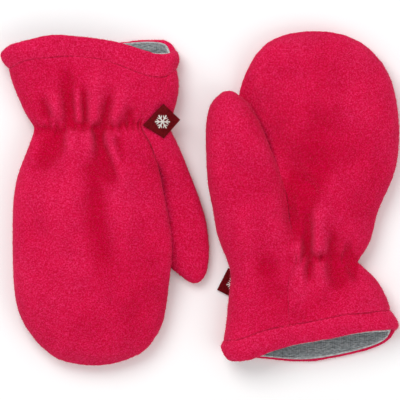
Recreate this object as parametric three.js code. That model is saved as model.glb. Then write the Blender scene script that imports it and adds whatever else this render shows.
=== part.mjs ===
// A pair of baby mittens in fleece, laid side by side on a flat surface. Millimetres, z up.
//
// Each mitten has its own frame: x (across) has the thumb on the negative side, y (along) runs from the cuff
// to the fingertips, and z is the height above the surface. The left-hand mitten lies palm up, with its thumb
// on the palm. The right-hand mitten lies back up and is turned half round, with its thumb under the palm.
import * as THREE from 'three';

// Cloth
const FLEECE = 2.2; // wall of the fleece pieces
const HEM_WALL = 3.0; // turned fleece round the cuff
const LINING_WALL = 1.0;
const LINING_SLACK = 1.0; // the lining hangs in from the fleece above the hem
const LABEL_WALL = 1.2; // folded woven tab, two plies
const LABEL_LIFT = 0.8; // clearance under the tab, and over it where the mitten lies on it
const LABEL_ASIDE = 0.5; // from the seam to the tab
const LABEL_DROP = 6; // how far the tab's outer edge hangs below its seam
const LABEL_REACH = 11; // how far round the tab the cloth over it is lifted
const SEAM = 0.3; // gap between pieces that are sewn together
const STITCHING_GAP = 0.45; // from the hem's stitching to a panel, measured along, as the hem slants
const SEAM_ASIDE = 0.8 * SEAM; // half of it, measured across, where the seams slant
const INNER_SEAM = 0.8 * SEAM; // half of it inside the wall, where it may open a little

// Heights of a stuffed-looking, softly flattened mitten
const FOLD_HEIGHT = 8; // side seams and folds of the hand
const LOWER_REACH = 6.5; // how far in from a fold the underside meets the surface
const HAND_REACH = 23; // how far in from a fold the upper side rounds over
const CUFF_REACH = 17;
const THUMB_REACH = 12;
const STEP_REACH = 15; // how far the palm takes to step over or under the thumb
const STEP_MARGIN = 2.5; // the step starts this far out from the thumb
const THUMB_DROOP = 2.5; // underside of a thumb on the palm, where it hangs past the hand
const FOLD_MARGIN = 0.12; // this near a fold counts as on it
const HEM_PUFF = 0.5; // the hem stands out between its stitching and its lip
const PAST_LIP = 3; // cuff folds run on past the lip by this many hem widths
const THUMB_RISE = 26; // the thumb's top starts to change height this far below the crotch
const THUMB_LIFT = 14; // and its underside this far below it
const CROTCH_MARGIN = 4; // the free thumb is taken from this far below the crotch
const WIDENING = { from: 40, to: 70 }; // along here the hand rounds over further in than the cuff
const TUCK = { from: 4, to: 16 }; // how far in the hand's edge over a thumb stays at its own height
const LIP_SHARE = 0.8; // the lining starts this far from the stitching towards the lip
const DEEPEST_CREASE = 1.2; // leaves a millimetre of the wall
const CREASE_FADE = 0.6; // share of its depth that a crease loses from its start to its end
const THUMB_CREASE_FADE = 20; // the thumb's creases are faint this near the cuff
const INWARD_LIMIT = 0.8; // up to this share of a panel's rows its middle is the one beside a point
const GATHER = { depth: 0.9, reach: 7 }; // small gathers at the wrist's elastic, and how far they run

// Grid sizes: outer faces are fine, for gathers and creases, and inner ones may have half the steps across
const UPPER_PANEL = { rows: 24, columns: 32, inner: 16 };
const LOWER_PANEL = { rows: 24, columns: 16, inner: 8 };
const STEPPED_PANEL = { rows: 24, columns: 20, inner: 20 }; // a palm that steps over the thumb
const THUMB_HALF = { rows: 24, columns: 10, inner: 5 };
const RING_STEPS = 18; // steps across a ring, on its upper and again on its lower half
const LABEL_STEPS = 10;

const table = (columns, rows) =>
  rows.map((row) => Object.fromEntries(columns.map((name, i) => [name, row[i]])));
const outline = (rows) => table(['across', 'along'], rows);
const heights = (rows) => table(['along', 'height'], rows);
const creases = (rows) =>
  table(['fromAcross', 'fromAlong', 'toAcross', 'toAlong', 'width', 'depth'], rows);

const LEFT_HAND = {
  name: 'left_hand',
  palmUp: true,
  place: { across: 50.6, along: -74.5, turn: 0 },
  crotch: 76, // the thumb parts from the hand here
  edgeStart: 78, // from here up the hand has an edge of its own on the thumb side
  outerSide: outline([
    [36.8, 23.9], [35.3, 29], [33, 33.6], [29.5, 39], [25, 42.8], [21.4, 46], [26.2, 52.6], [29, 61],
    [30.4, 68], [33.6, 75.4], [36.8, 82], [39.1, 88.3], [40.5, 96], [40.9, 107.6], [39.7, 119],
    [37.3, 129.3], [33, 137.5],
  ]),
  tip: outline([
    [-24.8, 141.5], [-19.5, 146.7], [-12, 150.2], [-1.8, 151.9], [9, 151.6], [19.8, 148.8], [27.5, 143.6],
    [33, 137.5],
  ]),
  palmSide: outline([
    [-9.7, 17], [-9.7, 22.5], [-10.4, 35], [-8.5, 40.9], [-6.7, 47.8], [-7.8, 56], [-9.2, 63.5],
    [-10.1, 74], [-19, 79], [-31, 84], [-33.8, 95], [-34, 104], [-33.6, 116], [-31.3, 128.6], [-28.3, 135],
    [-24.8, 141.5],
  ]),
  backSide: outline([
    [-34.5, 12.5], [-33.5, 20], [-31.8, 27.6], [-26.7, 37.7], [-24.8, 42], [-26.5, 50], [-30, 60],
    [-33, 75], [-34, 90], [-34, 104], [-33.6, 116], [-31.3, 128.6], [-28.3, 135], [-24.8, 141.5],
  ]),
  thumbFold: outline([
    [-39.6, 9.7], [-38.2, 17.9], [-37.5, 27.6], [-36.8, 32], [-36.2, 39], [-36.6, 43.5], [-39.6, 50.6],
    [-42.8, 59.3], [-44.6, 70.8], [-47.1, 82.3], [-47.7, 92.9], [-48, 104.4], [-47.4, 112.2],
    [-45.6, 118.5], [-42.3, 122.1],
  ]),
  thumbTip: outline([[-33.1, 122.8], [-35.3, 124.1], [-37.7, 124.5], [-40.2, 123.8], [-42.3, 122.1]]),
  thumbPalmEdge: outline([
    [-9.7, 17], [-9.7, 22.5], [-10.4, 35], [-8.5, 40.9], [-6.7, 47.8], [-7.8, 56], [-9.2, 63.5],
    [-10.6, 74], [-13.8, 86.9], [-16.6, 93.8], [-18.9, 99.8], [-22.5, 108.6], [-25.3, 114], [-28.3, 118.7],
    [-33.1, 122.8],
  ]),
  thumbBackEdge: outline([
    [-34.5, 12.5], [-33.5, 20], [-31.8, 27.6], [-26.7, 37.7], [-24.8, 42], [-26.5, 50], [-30, 60],
    [-33, 75], [-26, 79], [-15.5, 83], [-14.8, 89], [-16.6, 93.8], [-18.9, 99.8], [-22.5, 108.6],
    [-25.3, 114], [-28.3, 118.7], [-33.1, 122.8],
  ]),
  upperStitching: outline([
    [-39.6, 9.7], [-33.6, 10.1], [-20.2, 14.8], [-3.2, 17.9], [6.9, 19.8], [16.6, 22], [25.3, 22.8],
    [36.8, 23.9],
  ]),
  lowerStitching: outline([
    [-39.6, 9.7], [-31, 10.8], [-20, 10.6], [-3.2, 9.5], [11, 11.4], [25.1, 14.8], [32.2, 18.4], [36.8, 23.9],
  ]),
  upperLip: outline([
    [-40.9, 5.5], [-37.5, 1], [-33.6, 0.5], [-26.7, 1.8], [-20.2, 4.1], [-10.1, 8], [-3.2, 9], [9.2, 11.2],
    [25.1, 14.3], [41.2, 16.1],
  ]),
  lowerLip: outline([
    [-40.9, 5.5], [-32, 2.5], [-20.2, 1.4], [-3.2, -0.2], [11, 1.8], [25.1, 5.1], [35.9, 9.2], [41.2, 16.1],
  ]),
  upperGather: outline([[-36.6, 43.5], [-20, 45.5], [-5, 48], [10, 48], [21.4, 46]]),
  lowerGather: outline([[-36.6, 43.5], [-20, 44.5], [-5, 45.5], [10, 46], [21.4, 46]]),
  height: heights([
    [0, 17], [15, 17.5], [30, 18], [46, 16.6], [58, 18.4], [80, 20], [112, 20], [136, 18], [153, 15],
  ]),
  overlap: {
    handHeight: 8.5, handFold: 4.5, thumbLow: 10.6, thumbHigh: 19.8, thumbFold: 10.5, raisedFold: 13,
  },
  valley: { from: 47, full: 72, to: 78, width: 4, depth: 5 },
  label: outline([[-26.9, 37.7], [-32, 27.6], [-42.1, 32.7], [-37, 42.8]]),
  creases: creases([
    [-0.9, 52, -0.9, 71, 1.9, 1.5], [9.7, 51, 9.7, 58, 1.6, 0.9], [17, 46, 18, 52, 1.5, 0.8],
    [5.5, 50, 7, 55, 1.4, 0.5], [-0.5, 45, -1.5, 38, 1.6, 1.1], [10.1, 44, 14.3, 34, 2.6, 1.2],
    [18.4, 44, 20.5, 38, 1.6, 0.9], [5, 45, 5, 40, 1.4, 0.6], [1, 76, -2.3, 111, 6, 0.9],
    [-20, 46, -23, 62, 4, 0.7], [-18, 42, -16, 28, 3.5, 0.6],
  ]),
  gatherCount: { upper: 8, lower: 8 },
};

const RIGHT_HAND = {
  name: 'right_hand',
  palmUp: false,
  place: { across: -50.6, along: 75.4, turn: Math.PI },
  crotch: 69,
  edgeStart: 44, // the thumb lies under the palm, so the back has its own edge from the wrist up
  outerSide: outline([
    [37.3, 14.7], [35.8, 20.5], [32.2, 29.4], [28, 38.2], [24.4, 42.8], [26.7, 46.9], [28.5, 52.4],
    [32.2, 61.6], [34.5, 70.8], [35.4, 81], [35.4, 95], [35, 112.2], [33.6, 123.7], [29.9, 132.9],
    [23, 142.1],
  ]),
  tip: outline([
    [-27.6, 142.1], [-23.5, 145.7], [-18.4, 148.1], [-12, 150.2], [-4.6, 151.3], [4.6, 150.9], [15.2, 148.1],
    [23, 142.1],
  ]),
  palmSide: outline([
    [-10.4, 11], [-10.2, 22], [-10.4, 35], [-9, 40], [-8, 48], [-10.5, 57], [-14, 68], [-22, 73.5],
    [-33, 79], [-36.6, 86], [-37.7, 93.8], [-37.7, 102.1], [-36.8, 109.9], [-35.4, 121.4], [-33.6, 131.6],
    [-27.6, 142.1],
  ]),
  backSide: outline([
    [-35.9, 17.3], [-35.2, 22], [-33.6, 28.1], [-23.5, 40.9], [-27.6, 47.8], [-31.3, 59.3], [-33.6, 70.8],
    [-35.9, 82.3], [-37.7, 93.8], [-37.7, 102.1], [-36.8, 109.9], [-35.4, 121.4], [-33.6, 131.6],
    [-27.6, 142.1],
  ]),
  thumbFold: outline([
    [-39.5, 15.2], [-40.8, 21.6], [-40.2, 27.8], [-38.4, 34.5], [-36.3, 43.5], [-39.1, 47.5], [-41.8, 53.4],
    [-46, 63.9], [-50.6, 75.4], [-53.8, 86.9], [-54.8, 98.4], [-53.8, 107.6], [-52, 111.3],
  ]),
  thumbTip: outline([[-43, 111.2], [-45.1, 112.7], [-47.2, 113.5], [-49.7, 113.3], [-52, 111.3]]),
  thumbPalmEdge: outline([
    [-10.4, 11], [-10.2, 22], [-10.4, 35], [-9, 40], [-8, 48], [-10.5, 57], [-14, 68], [-20, 80],
    [-27.5, 93], [-34.5, 104], [-43, 111.2],
  ]),
  thumbBackEdge: outline([
    [-35.9, 17.3], [-35.2, 22], [-33.6, 28.1], [-23.5, 40.9], [-27.6, 47.8], [-31.3, 59.3], [-33.2, 68],
    [-26, 71], [-16.5, 74.5], [-20, 80], [-27.5, 93], [-34.5, 104], [-43, 111.2],
  ]),
  upperStitching: outline([
    [-39.5, 15.2], [-35.9, 18.2], [-32.2, 18.9], [-26.2, 18.2], [-17.5, 15.2], [-8, 11.6], [3.2, 9.7],
    [9.2, 9.2], [16.6, 9.7], [29.7, 11.5], [37.3, 14.7],
  ]),
  lowerStitching: outline([
    [-39.5, 15.2], [-34, 12], [-23, 10.6], [-10, 10.9], [3, 11.6], [20, 12], [30, 13], [37.3, 14.7],
  ]),
  upperLip: outline([
    [-40.5, 8.1], [-35.2, 8.6], [-30, 8.4], [-22.1, 5.8], [-15.2, 3.5], [-4.6, 1.8], [3.2, 0.9], [15.9, -0.4],
    [29.7, 2.6], [36, 4], [41.2, 8.6],
  ]),
  lowerLip: outline([
    [-40.5, 8.1], [-37.6, 3.6], [-33, 1.5], [-23, 1.4], [-14.7, 2.8], [0, 3.4], [20, 3.6], [34, 5.2],
    [41.2, 8.6],
  ]),
  upperGather: outline([[-36.3, 43.5], [-23.5, 40.9], [0, 42], [24.4, 42.8]]),
  lowerGather: outline([[-36.3, 43.5], [-23.5, 43], [0, 43], [24.4, 42.8]]),
  height: heights([
    [0, 17], [12, 17.5], [28, 18], [42, 16.6], [55, 19], [78, 21], [112, 21], [136, 19], [153, 15.5],
  ]),
  overlap: {
    handHeight: 19.5, handFold: 13.2, thumbLow: 10.5, thumbHigh: 9.6, thumbFold: 4.8, raisedFold: 4.8,
  },
  valley: { from: 44, full: 64, to: 70, width: 3.5, depth: 2 },
  label: outline([[-23.9, 40.9], [-33.4, 31], [-41, 38.2], [-33.4, 46.7]]),
  creases: creases([
    [11, 38, 11, 18, 2.2, 1.7], [2.3, 38, 2.3, 28, 1.8, 1.1], [-6.4, 38, -9.2, 26, 1.8, 1.2],
    [23.9, 36, 22, 31, 2.6, 0.9], [-17.5, 38, -17, 33, 1.8, 0.9], [17.5, 39, 17, 33, 1.4, 0.6],
    [-1.8, 39, -2.2, 34, 1.3, 0.5], [-4.8, 45, -7.8, 54, 2.2, 1.8], [-7.8, 54, -11, 66, 3, 1.4],
    [-7, 70, -8, 104, 5.5, 1.0], [13.8, 46, 18.9, 57, 3, 1.3], [18.9, 57, 24, 64, 4, 0.9],
    [3.2, 45, 2.6, 53, 1.7, 1.0], [-15.6, 45, -19, 52, 2, 1.1], [9, 45, 9.5, 50, 1.3, 0.6],
    [21, 45, 22.5, 50, 1.5, 0.7], [0, 36, 1, 20, 3, 0.5],
  ]),
  gatherCount: { upper: 16, lower: 10 },
};

// Smooth numbers
const mix = (a, b, share) => a + (b - a) * share;
const clamp01 = (value) => Math.min(1, Math.max(0, value));
const ramp = (low, high, value) => {
  const share = clamp01((value - low) / (high - low));
  return share * share * (3 - 2 * share);
};
// A quarter ellipse: 0 at a fold, 1 at the reach and beyond
const rounded = (distance, reach) => Math.sqrt(1 - (1 - clamp01((distance - FOLD_MARGIN) / reach)) ** 2);
// Columns crowd towards both ends, where the cloth curves most
const crowded = (share) => mix(share, (1 - Math.cos(Math.PI * share)) / 2, 0.8);
const crowdedEnd = (share) => mix(share, Math.sin((Math.PI / 2) * share), 0.6);

// A smooth curve through the rows of a table, read at a value of one column
function readTable(rows, key, value, at) {
  const last = rows.length - 1;
  const rising = rows[last][key] > rows[0][key];
  let i = 0;
  while (i < last - 1 && (rising ? at > rows[i + 1][key] : at < rows[i + 1][key])) i += 1;
  const slope = (a, b) => (rows[b][value] - rows[a][value]) / (rows[b][key] - rows[a][key]);
  const tangent = (j) => {
    if (j === 0) return slope(0, 1);
    if (j === last) return slope(last - 1, last);
    const before = slope(j - 1, j);
    const after = slope(j, j + 1);
    return before * after <= 0 ? 0 : (2 * before * after) / (before + after);
  };
  const step = rows[i + 1][key] - rows[i][key];
  const t = clamp01((at - rows[i][key]) / step);
  const t2 = t * t;
  const t3 = t2 * t;
  return (
    (2 * t3 - 3 * t2 + 1) * rows[i][value] + (t3 - 2 * t2 + t) * step * tangent(i) +
    (3 * t2 - 2 * t3) * rows[i + 1][value] + (t3 - t2) * step * tangent(i + 1)
  );
}

// Outline points: up a side by its along column, or through a table's own points
const sidePoint = (rows, share) => {
  const along = mix(rows[0].along, rows[rows.length - 1].along, share);
  return new THREE.Vector2(readTable(rows, 'along', 'across', along), along);
};
// Half of the rows lie below the thumb's crotch, so that pieces sewn together there share their stations
const stationPoint = (rows, crotch, share, start = rows[0].along) => {
  const end = rows[rows.length - 1].along;
  const along = share < 0.5 ? mix(start, crotch, 2 * share) : mix(crotch, end, crowdedEnd(2 * share - 1));
  return new THREE.Vector2(readTable(rows, 'along', 'across', along), along);
};
const crossPoint = (rows, from, to, share) => {
  const across = mix(from, to, share);
  return new THREE.Vector2(across, readTable(rows, 'across', 'along', across));
};
const arcCurve = (rows) => {
  const points = rows.map((row) => new THREE.Vector3(row.across, row.along, 0));
  return new THREE.CatmullRomCurve3(points, false, 'centripetal');
};
const arcPoint = (curve, share) => {
  const point = curve.getPointAt(share);
  return new THREE.Vector2(point.x, point.y);
};

const SIDE_STEPS = 90;
const TIP_STEPS = 40;
const steps = (count) => Array.from({ length: count + 1 }, (_, i) => i / count);
const sideLine = (rows, from = -Infinity, to = Infinity) => {
  const points = steps(SIDE_STEPS).map((share) => sidePoint(rows, share));
  return points.filter((point) => point.y >= from && point.y <= to);
};
// The same lines half a seam gap aside, where the edges of the pieces run
const movedAside = (point, aside) => point.clone().add(new THREE.Vector2(aside, 0));
const edgeLine = (rows, from, aside) => sideLine(rows, from).map((point) => movedAside(point, aside));
const tipLine = (rows, aside) => {
  const curve = arcCurve(rows);
  return steps(TIP_STEPS).map((share) => movedAside(arcPoint(curve, share), aside * (1 - share)));
};

function distanceToLine(line, x, y) {
  let nearest = Infinity;
  for (let i = 0; i + 1 < line.length; i += 1) {
    const a = line[i];
    const b = line[i + 1];
    const dx = b.x - a.x;
    const dy = b.y - a.y;
    const squared = dx * dx + dy * dy || 1;
    const share = clamp01(((x - a.x) * dx + (y - a.y) * dy) / squared);
    nearest = Math.min(nearest, Math.hypot(x - a.x - dx * share, y - a.y - dy * share));
  }
  return nearest;
}
const distanceToLines = (lines, x, y) => Math.min(...lines.map((line) => distanceToLine(line, x, y)));

function inside(polygon, x, y) {
  let within = false;
  for (let i = 0, j = polygon.length - 1; i < polygon.length; j = i, i += 1) {
    const a = polygon[i];
    const b = polygon[j];
    if (a.y > y !== b.y > y && x < ((b.x - a.x) * (y - a.y)) / (b.y - a.y) + a.x) within = !within;
  }
  return within;
}
// 1 inside a closed outline and on its margin, falling to 0 at the reach outside it
function near(polygon, reach, x, y) {
  if (inside(polygon, x, y)) return 1;
  return 1 - ramp(STEP_MARGIN, reach, distanceToLine([...polygon, polygon[0]], x, y));
}

// The form of one mitten: outer heights of every piece over the plan, without its creases
function mittenForm(spec) {
  const { overlap } = spec;
  const heightAt = (y) => readTable(spec.height, 'along', 'height', y);
  const beyond = (rows) => {
    const lip = new THREE.Vector2(rows.lip.across, rows.lip.along);
    const stitched = new THREE.Vector2(rows.stitched.across, rows.stitched.along);
    return [lip.clone().add(lip.clone().sub(stitched).multiplyScalar(PAST_LIP)), stitched];
  };
  const lastOf = (rows) => rows[rows.length - 1];
  const thumbCuff = beyond({ lip: spec.upperLip[0], stitched: spec.upperStitching[0] });
  const outerCuff = beyond({ lip: lastOf(spec.upperLip), stitched: lastOf(spec.upperStitching) });
  const thumbFold = [...thumbCuff, ...sideLine(spec.thumbFold)];
  const outerFold = [...outerCuff, ...sideLine(spec.outerSide)];
  const tip = tipLine(spec.tip, SEAM_ASIDE);
  const thumbTip = tipLine(spec.thumbTip, -SEAM_ASIDE);
  const cuffFolds = [thumbFold, outerFold];
  const palmFolds = [outerFold, tip, edgeLine(spec.palmSide, spec.crotch + STEP_REACH, SEAM_ASIDE)];
  const backFolds = [outerFold, tip, edgeLine(spec.backSide, spec.edgeStart, SEAM_ASIDE)];
  const thumbFolds = [thumbFold, thumbTip, edgeLine(spec.thumbPalmEdge, spec.crotch, -SEAM_ASIDE)];
  const freeThumb = [
    ...sideLine(spec.thumbBackEdge, spec.crotch - CROTCH_MARGIN),
    ...thumbTip,
    ...sideLine(spec.thumbFold, spec.crotch).reverse(),
  ];
  const hand = [...sideLine(spec.palmSide), ...tip, ...sideLine(spec.outerSide).reverse()];
  const valleySide = spec.palmUp ? spec.thumbPalmEdge : spec.backSide;
  const valleyLine = sideLine(valleySide, spec.valley.from, spec.valley.to);
  const handEdgeLine = sideLine(spec.backSide, spec.edgeStart, spec.crotch + STEP_REACH);

  const thumbHere = (x, y) => near(freeThumb, STEP_REACH, x, y);
  const handHere = (x, y) => near(hand, STEP_REACH, x, y);
  const thumbShare = (y) => ramp(spec.crotch - THUMB_RISE, spec.crotch, y);
  const valley = (x, y) => {
    const { from, full, width, depth } = spec.valley;
    return depth * ramp(from, full, y) * Math.exp(-((distanceToLine(valleyLine, x, y) / width) ** 2));
  };
  const handFold = (x, y) => {
    const edge = spec.palmUp ? 0 : 1 - ramp(TUCK.from, TUCK.to, distanceToLine(handEdgeLine, x, y));
    return mix(FOLD_HEIGHT, overlap.handFold, Math.max(thumbHere(x, y), edge));
  };
  const thumbFoldHeight = (x, y) =>
    mix(FOLD_HEIGHT, mix(overlap.thumbFold, overlap.raisedFold, handHere(x, y)), thumbShare(y));
  const handReach = (y) => mix(CUFF_REACH, HAND_REACH, ramp(WIDENING.from, WIDENING.to, y));
  const upper = (fold, top, distance, reach) => mix(fold + SEAM / 2, top, rounded(distance, reach));
  const lower = (fold, low, distance) => {
    const height = fold - SEAM / 2;
    return height - (height - low) * rounded(distance, LOWER_REACH);
  };

  const cuffUpper = (x, y) => upper(FOLD_HEIGHT, heightAt(y), distanceToLines(cuffFolds, x, y), CUFF_REACH);
  const cuffLower = (x, y) => lower(FOLD_HEIGHT, 0, distanceToLines(cuffFolds, x, y));
  const belowEdge = (y) => y < spec.edgeStart;
  const belowCrotch = (y) => y < spec.crotch;
  const palmDistance = (x, y) =>
    distanceToLines(belowCrotch(y) ? [...palmFolds, thumbFold] : palmFolds, x, y);
  const backDistance = (x, y) =>
    distanceToLines(belowEdge(y) ? [...backFolds, thumbFold] : backFolds, x, y);

  const palmUpper = (x, y) => {
    const top = mix(heightAt(y) - valley(x, y), overlap.handHeight, thumbHere(x, y));
    return upper(handFold(x, y), top, palmDistance(x, y), handReach(y));
  };
  const palmLower = (x, y) => lower(handFold(x, y), overlap.thumbLow * thumbHere(x, y), palmDistance(x, y));
  const backUpper = (x, y) => {
    const top = mix(heightAt(y), overlap.handHeight, thumbHere(x, y));
    return upper(handFold(x, y), top, backDistance(x, y), handReach(y));
  };
  const backLower = (x, y) => lower(handFold(x, y), 0, backDistance(x, y));
  const thumbDistance = (x, y) => distanceToLines(thumbFolds, x, y);
  const thumbUpper = (x, y) => {
    const top = mix(heightAt(y), overlap.thumbHigh, thumbShare(y)) - valley(x, y);
    const reach = mix(CUFF_REACH, THUMB_REACH, thumbShare(y));
    return upper(thumbFoldHeight(x, y), top, thumbDistance(x, y), reach);
  };
  const tab = labelCorners(spec);
  const labelLift = (x, y) => (LABEL_WALL + LABEL_LIFT) * near(tab, LABEL_REACH, x, y);
  const thumbLower = (x, y) => {
    const free = mix(THUMB_DROOP, overlap.thumbLow, handHere(x, y));
    const raised = free * ramp(spec.crotch - THUMB_LIFT, spec.crotch, y);
    const lifted = spec.palmUp ? Math.max(raised, labelLift(x, y)) : 0;
    return lower(thumbFoldHeight(x, y), lifted, thumbDistance(x, y));
  };
  return {
    cuffUpper, cuffLower,
    palm: spec.palmUp ? palmUpper : palmLower,
    back: spec.palmUp ? backLower : backUpper,
    thumbUpper, thumbLower, handFold, thumbFoldHeight,
  };
}

// The tab: two corners on the seam and two that stand out past the mitten's side, all moved clear of the seam
function labelCorners(spec) {
  const corners = spec.label.map((row) => new THREE.Vector2(row.across, row.along));
  const clear = corners[3].clone().sub(corners[0]).setLength(LABEL_ASIDE);
  return corners.map((corner) => corner.add(clear));
}

// The way the cloth faces at a place on an upper or lower surface, which must not be on a fold itself
const SLOPE_STEP = 0.05;
const SAMPLE_INSET = FOLD_MARGIN + 4 * SLOPE_STEP; // from a fold to where the cloth beside it is sampled
function facing(heightOf, x, y, upward) {
  const slopeX = (heightOf(x + SLOPE_STEP, y) - heightOf(x - SLOPE_STEP, y)) / (2 * SLOPE_STEP);
  const slopeY = (heightOf(x, y + SLOPE_STEP) - heightOf(x, y - SLOPE_STEP)) / (2 * SLOPE_STEP);
  const normal = new THREE.Vector3(-slopeX, -slopeY, 1).normalize();
  return upward ? normal : normal.negate();
}

// Depth of the small gathers at a share of a panel's width: the counts fit the panel's own columns
function gatherDepth(line, count, x, y, share) {
  const wave = 0.5 - 0.5 * Math.cos(2 * Math.PI * count * share);
  const away = y - readTable(line, 'across', 'along', x);
  return GATHER.depth * wave * Math.exp(-((away / GATHER.reach) ** 2));
}

// Depth of the creases of a mitten's upper side
function creaseDepth(spec, x, y) {
  let depth = 0;
  for (const row of spec.creases) {
    const dx = row.toAcross - row.fromAcross;
    const dy = row.toAlong - row.fromAlong;
    const share = clamp01(((x - row.fromAcross) * dx + (y - row.fromAlong) * dy) / (dx * dx + dy * dy));
    const aside = Math.hypot(x - row.fromAcross - dx * share, y - row.fromAlong - dy * share);
    depth += row.depth * (1 - CREASE_FADE * share) * Math.exp(-((aside / row.width) ** 2));
  }
  return depth;
}

// A closed cloth wall from the points of its outer and its inner face
function clothWall(outer, inner) {
  const rows = outer.length - 1;
  const columns = outer[0].length - 1;
  const positions = [];
  const index = [];
  const add = (point) => positions.push(point.x, point.y, point.z) / 3 - 1;
  const outerIds = outer.map((row) => row.map(add));
  const innerIds = inner.map((row) => row.map(add));
  const turned = (flip, a, b, c) => (flip ? index.push(a, c, b) : index.push(a, b, c));
  const sheet = (ids, flip) => {
    for (let i = 0; i + 1 < ids.length; i += 1) {
      for (let j = 0; j + 1 < ids[i].length; j += 1) {
        const [a, b, c, d] = [ids[i][j], ids[i][j + 1], ids[i + 1][j + 1], ids[i + 1][j]];
        turned(flip, a, b, c);
        turned(flip, a, c, d);
      }
    }
  };
  sheet(outerIds, false);
  sheet(innerIds, true);
  // Rims: across, an inner step meets one or two outer steps, and up the sides they match
  const rimAcross = (fine, coarse, flip) => {
    if (fine.length === coarse.length) return rimUp(fine, coarse, flip);
    for (let k = 0; k + 1 < coarse.length; k += 1) {
      const [f0, f1, f2] = fine.slice(2 * k, 2 * k + 3);
      turned(flip, coarse[k], f0, f1);
      turned(flip, coarse[k], f1, coarse[k + 1]);
      turned(flip, coarse[k + 1], f1, f2);
    }
  };
  const rimUp = (first, second, flip) => {
    for (let k = 0; k + 1 < first.length; k += 1) {
      turned(flip, second[k], first[k], first[k + 1]);
      turned(flip, second[k], first[k + 1], second[k + 1]);
    }
  };
  const column = (ids, j) => ids.map((row) => row[j]);
  rimAcross(outerIds[0], innerIds[0], true);
  rimAcross(outerIds[rows], innerIds[rows], false);
  rimUp(column(outerIds, 0), column(innerIds, 0), false);
  rimUp(column(outerIds, columns), column(innerIds, inner[0].length - 1), true);
  return solid(positions, index);
}

// A closed ring of cloth: loops of points, each loop round the tube, in order round the wall's section
function clothRing(loops) {
  const positions = [];
  const index = [];
  const count = loops[0].length;
  for (const point of loops.flat()) positions.push(point.x, point.y, point.z);
  for (let i = 0; i < loops.length; i += 1) {
    for (let j = 0; j < count; j += 1) {
      const next = (i + 1) % loops.length;
      const beside = (j + 1) % count;
      const [a, b, c, d] = [i * count + j, i * count + beside, next * count + beside, next * count + j];
      index.push(a, b, c, a, c, d);
    }
  }
  return solid(positions, index);
}

// Faces are turned outwards where the volume comes out negative
function solid(positions, index) {
  let volume = 0;
  const corner = (i) => new THREE.Vector3().fromArray(positions, 3 * index[i]);
  for (let i = 0; i < index.length; i += 3) volume += corner(i).dot(corner(i + 1).cross(corner(i + 2)));
  const geometry = new THREE.BufferGeometry();
  geometry.setAttribute('position', new THREE.Float32BufferAttribute(positions, 3));
  geometry.setIndex(volume < 0 ? index.reverse() : index);
  geometry.computeVertexNormals();
  return geometry;
}

// Plan of a panel between four sides: start at the cuff, end at the tip, and two sides up the hand
function panelPlan({ start, end, left, right }) {
  const corners = [left(0), right(0), left(1), right(1)];
  return (u, v) => {
    const point = left(v).multiplyScalar(1 - u).add(right(v).multiplyScalar(u));
    point.add(start(u).multiplyScalar(1 - v)).add(end(u).multiplyScalar(v));
    const weights = [(1 - u) * (1 - v), u * (1 - v), (1 - u) * v, u * v];
    corners.forEach((corner, i) => point.sub(corner.clone().multiplyScalar(weights[i])));
    return point;
  };
}

// Points of a panel's outer face
function outerGrid({ rows, columns }, plan, heightOf, upward, crease) {
  return steps(rows).map((rowShare) =>
    steps(columns).map((columnShare) => {
      const { x, y } = plan(crowded(columnShare), rowShare);
      const depth = DEEPEST_CREASE * Math.tanh(crease(x, y, columnShare) / DEEPEST_CREASE);
      return new THREE.Vector3(x, y, heightOf(x, y) + (upward ? -depth : depth));
    }),
  );
}
// Points of its inner face, which stay on their own side of the fold
function innerGrid({ rows, inner }, plan, heightOf, upward, foldOf) {
  return steps(rows).map((rowShare) =>
    steps(inner).map((columnShare) => {
      const place = plan(crowded(columnShare), rowShare);
      const { x, y } = place;
      const middle = plan(0.5, Math.min(rowShare, INWARD_LIMIT));
      const sample = place.clone().add(middle.sub(place).setLength(SAMPLE_INSET));
      const point = new THREE.Vector3(x, y, heightOf(x, y));
      point.addScaledVector(facing(heightOf, sample.x, sample.y, upward), -FLEECE);
      const fold = foldOf(x, y);
      point.z = upward ? Math.max(point.z, fold + INNER_SEAM) : Math.min(point.z, fold - INNER_SEAM);
      return point;
    }),
  );
}
const noCrease = () => 0;

// A side up a panel: half a seam gap from its neighbour, from the stitching to the tip
const besideSeam = (rows, aside, crotch, stitching) => {
  const start = readTable(stitching, 'across', 'along', rows[0].across + aside) + STITCHING_GAP;
  return (v) => stationPoint(rows, crotch, v, start).add(new THREE.Vector2(aside, 0));
};
// The stitching line between two sides, drawn back from the hem
const startLine = (stitching, left, right) => {
  const [from, to] = [left(0), right(0)];
  const lineAt = (across) => readTable(stitching, 'across', 'along', across);
  return (u) => {
    const across = mix(from.x, to.x, u);
    return new THREE.Vector2(across, lineAt(across) + mix(from.y - lineAt(from.x), to.y - lineAt(to.x), u));
  };
};
// The tip's arc, moved at its start to where the side ends
const endLine = (rows, side) => {
  const curve = arcCurve(rows);
  const shift = side(1).sub(arcPoint(curve, 0));
  return (u) => arcPoint(curve, u).addScaledVector(shift, 1 - u);
};

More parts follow.
